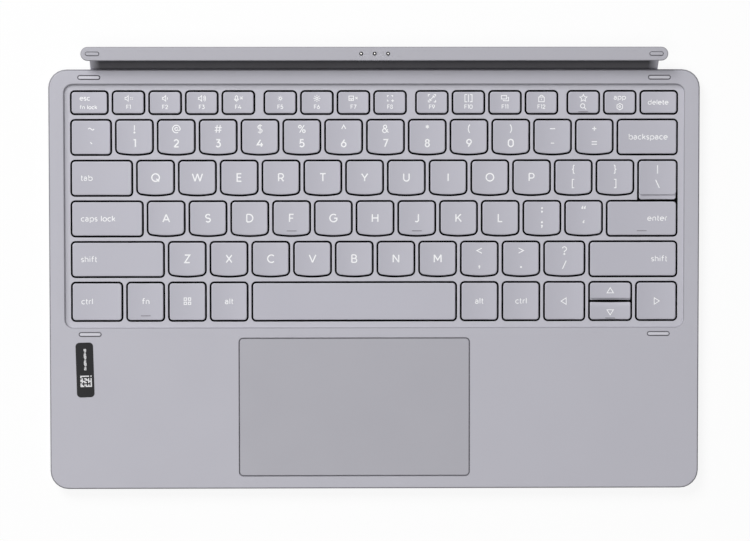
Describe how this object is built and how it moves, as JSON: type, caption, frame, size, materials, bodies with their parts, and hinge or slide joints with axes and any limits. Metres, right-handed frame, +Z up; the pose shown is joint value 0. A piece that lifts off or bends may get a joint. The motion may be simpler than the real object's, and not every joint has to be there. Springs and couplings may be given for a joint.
{
  "type": "tablet keyboard cover",
  "caption": "Slim detachable tablet keyboard with sprung keys, a clicking touchpad and a docking bar with spring contacts on a folding strip.",
  "frame": {"origin": "middle of the footprint, on the table", "axes": "+X to the user's right along the keys, +Y away from the user to the docking bar, +Z up"},
  "size_m": [0.292, 0.1986, 0.0138],
  "materials": {
    "shell": "fine matt, pale grey",
    "underside": "fine matt, pale grey",
    "grid": "fine matt, pale grey",
    "keycaps": "matt with white print",
    "touch_surface": "satin film",
    "bar_shell": "fine matt, pale grey",
    "strip_fabric": "dark grey fabric",
    "bumper_rubber": "soft matt",
    "sticker": "black film",
    "steel": "sheet",
    "film": "dark film",
    "circuit_board": "solder mask",
    "magnet": "nickel",
    "contact_metal": "plated"
  },
  "bodies": {
    "slab": {"top_case": "shell", "bottom_cover": "underside", "key_grid": "grid", "support_plate": "steel", "membrane": "film", "dome_sheet": "film", "upper_row_keys": "keycaps", "modifier_keys": "keycaps", "main_board": "circuit_board", "deck_bumpers": "bumper_rubber", "label": "sticker"},
    "touchpad": {"touchpad_plate": "touch_surface", "touchpad_board": "circuit_board"},
    "folding_strip": {"hinge_strip": "strip_fabric"},
    "docking_bar": {"bar_housing": "bar_shell", "dock_plate": "bar_shell", "bar_magnets": "magnet"},
    "contact_left": {"contact_pin_left": "contact_metal"},
    "contact_middle": {"contact_pin_middle": "contact_metal"},
    "contact_right": {"contact_pin_right": "contact_metal"},
    "key_q": {"key_q": "keycaps"},
    "key_w": {"key_w": "keycaps"},
    "key_e": {"key_e": "keycaps"},
    "key_r": {"key_r": "keycaps"},
    "key_t": {"key_t": "keycaps"},
    "key_y": {"key_y": "keycaps"},
    "key_u": {"key_u": "keycaps"},
    "key_i": {"key_i": "keycaps"},
    "key_o": {"key_o": "keycaps"},
    "key_p": {"key_p": "keycaps"},
    "key_open_bracket": {"key_open_bracket": "keycaps"},
    "key_close_bracket": {"key_close_bracket": "keycaps"},
    "key_backslash": {"key_backslash": "keycaps"},
    "key_tab": {"key_tab": "keycaps"},
    "key_caps_lock": {"key_caps_lock": "keycaps"},
    "key_a": {"key_a": "keycaps"},
    "key_s": {"key_s": "keycaps"},
    "key_d": {"key_d": "keycaps"},
    "key_f": {"key_f": "keycaps"},
    "key_g": {"key_g": "keycaps"},
    "key_h": {"key_h": "keycaps"},
    "key_j": {"key_j": "keycaps"},
    "key_k": {"key_k": "keycaps"},
    "key_l": {"key_l": "keycaps"},
    "key_semicolon": {"key_semicolon": "keycaps"},
    "key_quote": {"key_quote": "keycaps"},
    "key_enter": {"key_enter": "keycaps"},
    "key_left_shift": {"key_left_shift": "keycaps"},
    "key_z": {"key_z": "keycaps"},
    "key_x": {"key_x": "keycaps"},
    "key_c": {"key_c": "keycaps"},
    "key_v": {"key_v": "keycaps"},
    "key_b": {"key_b": "keycaps"},
    "key_n": {"key_n": "keycaps"},
    "key_m": {"key_m": "keycaps"},
    "key_comma": {"key_comma": "keycaps"},
    "key_period": {"key_period": "keycaps"},
    "key_slash": {"key_slash": "keycaps"},
    "key_right_shift": {"key_right_shift": "keycaps"},
    "key_space": {"key_space": "keycaps"}
  },
  "joints": [
    {"name": "strip_fold", "type": "hinge", "parent": "slab", "child": "folding_strip", "pos_m": [0, 0.0898, 0.003], "axis": [1, 0, 0], "range_deg": [-22, 0]},
    {"name": "bar_fold", "type": "hinge", "parent": "folding_strip", "child": "docking_bar", "pos_m": [0, 0.09315, 0.00798], "axis": [1, 0, 0], "range_deg": [-68, 112]},
    {"name": "touchpad_click", "type": "hinge", "parent": "slab", "child": "touchpad", "pos_m": [0, -0.02995, 0.0046], "axis": [1, 0, 0], "range_deg": [0, 0.28], "stiffness_Nm_per_rad": 6},
    {"name": "contact_left_press", "type": "slide", "parent": "docking_bar", "child": "contact_left", "axis": [0, 0, 1], "range_m": [-0.00045, 0], "stiffness_N_per_m": 800},
    {"name": "contact_middle_press", "type": "slide", "parent": "docking_bar", "child": "contact_middle", "axis": [0, 0, 1], "range_m": [-0.00045, 0], "stiffness_N_per_m": 800},
    {"name": "contact_right_press", "type": "slide", "parent": "docking_bar", "child": "contact_right", "axis": [0, 0, 1], "range_m": [-0.00045, 0], "stiffness_N_per_m": 800},
    {"name": "key_q_press", "type": "slide", "parent": "slab", "child": "key_q", "axis": [0, 0, 1], "range_m": [-0.0012, 0], "stiffness_N_per_m": 500, "deforming": ["dome_sheet"]},
    {"name": "key_w_press", "type": "slide", "parent": "slab", "child": "key_w", "axis": [0, 0, 1], "range_m": [-0.0012, 0], "stiffness_N_per_m": 500, "deforming": ["dome_sheet"]},
    {"name": "key_e_press", "type": "slide", "parent": "slab", "child": "key_e", "axis": [0, 0, 1], "range_m": [-0.0012, 0], "stiffness_N_per_m": 500, "deforming": ["dome_sheet"]},
    {"name": "key_r_press", "type": "slide", "parent": "slab", "child": "key_r", "axis": [0, 0, 1], "range_m": [-0.0012, 0], "stiffness_N_per_m": 500, "deforming": ["dome_sheet"]},
    {"name": "key_t_press", "type": "slide", "parent": "slab", "child": "key_t", "axis": [0, 0, 1], "range_m": [-0.0012, 0], "stiffness_N_per_m": 500, "deforming": ["dome_sheet"]},
    {"name": "key_y_press", "type": "slide", "parent": "slab", "child": "key_y", "axis": [0, 0, 1], "range_m": [-0.0012, 0], "stiffness_N_per_m": 500, "deforming": ["dome_sheet"]},
    {"name": "key_u_press", "type": "slide", "parent": "slab", "child": "key_u", "axis": [0, 0, 1], "range_m": [-0.0012, 0], "stiffness_N_per_m": 500, "deforming": ["dome_sheet"]},
    {"name": "key_i_press", "type": "slide", "parent": "slab", "child": "key_i", "axis": [0, 0, 1], "range_m": [-0.0012, 0], "stiffness_N_per_m": 500, "deforming": ["dome_sheet"]},
    {"name": "key_o_press", "type": "slide", "parent": "slab", "child": "key_o", "axis": [0, 0, 1], "range_m": [-0.0012, 0], "stiffness_N_per_m": 500, "deforming": ["dome_sheet"]},
    {"name": "key_p_press", "type": "slide", "parent": "slab", "child": "key_p", "axis": [0, 0, 1], "range_m": [-0.0012, 0], "stiffness_N_per_m": 500, "deforming": ["dome_sheet"]},
    {"name": "key_open_bracket_press", "type": "slide", "parent": "slab", "child": "key_open_bracket", "axis": [0, 0, 1], "range_m": [-0.0012, 0], "stiffness_N_per_m": 500, "deforming": ["dome_sheet"]},
    {"name": "key_close_bracket_press", "type": "slide", "parent": "slab", "child": "key_close_bracket", "axis": [0, 0, 1], "range_m": [-0.0012, 0], "stiffness_N_per_m": 500, "deforming": ["dome_sheet"]},
    {"name": "key_backslash_press", "type": "slide", "parent": "slab", "child": "key_backslash", "axis": [0, 0, 1], "range_m": [-0.0012, 0], "stiffness_N_per_m": 500, "deforming": ["dome_sheet"]},
    {"name": "key_tab_press", "type": "slide", "parent": "slab", "child": "key_tab", "axis": [0, 0, 1], "range_m": [-0.0012, 0], "stiffness_N_per_m": 500, "deforming": ["dome_sheet"]},
    {"name": "key_caps_lock_press", "type": "slide", "parent": "slab", "child": "key_caps_lock", "axis": [0, 0, 1], "range_m": [-0.0012, 0], "stiffness_N_per_m": 500, "deforming": ["dome_sheet"]},
    {"name": "key_a_press", "type": "slide", "parent": "slab", "child": "key_a", "axis": [0, 0, 1], "range_m": [-0.0012, 0], "stiffness_N_per_m": 500, "deforming": ["dome_sheet"]},
    {"name": "key_s_press", "type": "slide", "parent": "slab", "child": "key_s", "axis": [0, 0, 1], "range_m": [-0.0012, 0], "stiffness_N_per_m": 500, "deforming": ["dome_sheet"]},
    {"name": "key_d_press", "type": "slide", "parent": "slab", "child": "key_d", "axis": [0, 0, 1], "range_m": [-0.0012, 0], "stiffness_N_per_m": 500, "deforming": ["dome_sheet"]},
    {"name": "key_f_press", "type": "slide", "parent": "slab", "child": "key_f", "axis": [0, 0, 1], "range_m": [-0.0012, 0], "stiffness_N_per_m": 500, "deforming": ["dome_sheet"]},
    {"name": "key_g_press", "type": "slide", "parent": "slab", "child": "key_g", "axis": [0, 0, 1], "range_m": [-0.0012, 0], "stiffness_N_per_m": 500, "deforming": ["dome_sheet"]},
    {"name": "key_h_press", "type": "slide", "parent": "slab", "child": "key_h", "axis": [0, 0, 1], "range_m": [-0.0012, 0], "stiffness_N_per_m": 500, "deforming": ["dome_sheet"]},
    {"name": "key_j_press", "type": "slide", "parent": "slab", "child": "key_j", "axis": [0, 0, 1], "range_m": [-0.0012, 0], "stiffness_N_per_m": 500, "deforming": ["dome_sheet"]},
    {"name": "key_k_press", "type": "slide", "parent": "slab", "child": "key_k", "axis": [0, 0, 1], "range_m": [-0.0012, 0], "stiffness_N_per_m": 500, "deforming": ["dome_sheet"]},
    {"name": "key_l_press", "type": "slide", "parent": "slab", "child": "key_l", "axis": [0, 0, 1], "range_m": [-0.0012, 0], "stiffness_N_per_m": 500, "deforming": ["dome_sheet"]},
    {"name": "key_semicolon_press", "type": "slide", "parent": "slab", "child": "key_semicolon", "axis": [0, 0, 1], "range_m": [-0.0012, 0], "stiffness_N_per_m": 500, "deforming": ["dome_sheet"]},
    {"name": "key_quote_press", "type": "slide", "parent": "slab", "child": "key_quote", "axis": [0, 0, 1], "range_m": [-0.0012, 0], "stiffness_N_per_m": 500, "deforming": ["dome_sheet"]},
    {"name": "key_enter_press", "type": "slide", "parent": "slab", "child": "key_enter", "axis": [0, 0, 1], "range_m": [-0.0012, 0], "stiffness_N_per_m": 500, "deforming": ["dome_sheet"]},
    {"name": "key_left_shift_press", "type": "slide", "parent": "slab", "child": "key_left_shift", "axis": [0, 0, 1], "range_m": [-0.0012, 0], "stiffness_N_per_m": 500, "deforming": ["dome_sheet"]},
    {"name": "key_z_press", "type": "slide", "parent": "slab", "child": "key_z", "axis": [0, 0, 1], "range_m": [-0.0012, 0], "stiffness_N_per_m": 500, "deforming": ["dome_sheet"]},
    {"name": "key_x_press", "type": "slide", "parent": "slab", "child": "key_x", "axis": [0, 0, 1], "range_m": [-0.0012, 0], "stiffness_N_per_m": 500, "deforming": ["dome_sheet"]},
    {"name": "key_c_press", "type": "slide", "parent": "slab", "child": "key_c", "axis": [0, 0, 1], "range_m": [-0.0012, 0], "stiffness_N_per_m": 500, "deforming": ["dome_sheet"]},
    {"name": "key_v_press", "type": "slide", "parent": "slab", "child": "key_v", "axis": [0, 0, 1], "range_m": [-0.0012, 0], "stiffness_N_per_m": 500, "deforming": ["dome_sheet"]},
    {"name": "key_b_press", "type": "slide", "parent": "slab", "child": "key_b", "axis": [0, 0, 1], "range_m": [-0.0012, 0], "stiffness_N_per_m": 500, "deforming": ["dome_sheet"]},
    {"name": "key_n_press", "type": "slide", "parent": "slab", "child": "key_n", "axis": [0, 0, 1], "range_m": [-0.0012, 0], "stiffness_N_per_m": 500, "deforming": ["dome_sheet"]},
    {"name": "key_m_press", "type": "slide", "parent": "slab", "child": "key_m", "axis": [0, 0, 1], "range_m": [-0.0012, 0], "stiffness_N_per_m": 500, "deforming": ["dome_sheet"]},
    {"name": "key_comma_press", "type": "slide", "parent": "slab", "child": "key_comma", "axis": [0, 0, 1], "range_m": [-0.0012, 0], "stiffness_N_per_m": 500, "deforming": ["dome_sheet"]},
    {"name": "key_period_press", "type": "slide", "parent": "slab", "child": "key_period", "axis": [0, 0, 1], "range_m": [-0.0012, 0], "stiffness_N_per_m": 500, "deforming": ["dome_sheet"]},
    {"name": "key_slash_press", "type": "slide", "parent": "slab", "child": "key_slash", "axis": [0, 0, 1], "range_m": [-0.0012, 0], "stiffness_N_per_m": 500, "deforming": ["dome_sheet"]},
    {"name": "key_right_shift_press", "type": "slide", "parent": "slab", "child": "key_right_shift", "axis": [0, 0, 1], "range_m": [-0.0012, 0], "stiffness_N_per_m": 500, "deforming": ["dome_sheet"]},
    {"name": "key_space_press", "type": "slide", "parent": "slab", "child": "key_space", "axis": [0, 0, 1], "range_m": [-0.0012, 0], "stiffness_N_per_m": 500, "deforming": ["dome_sheet"]}
  ]
}
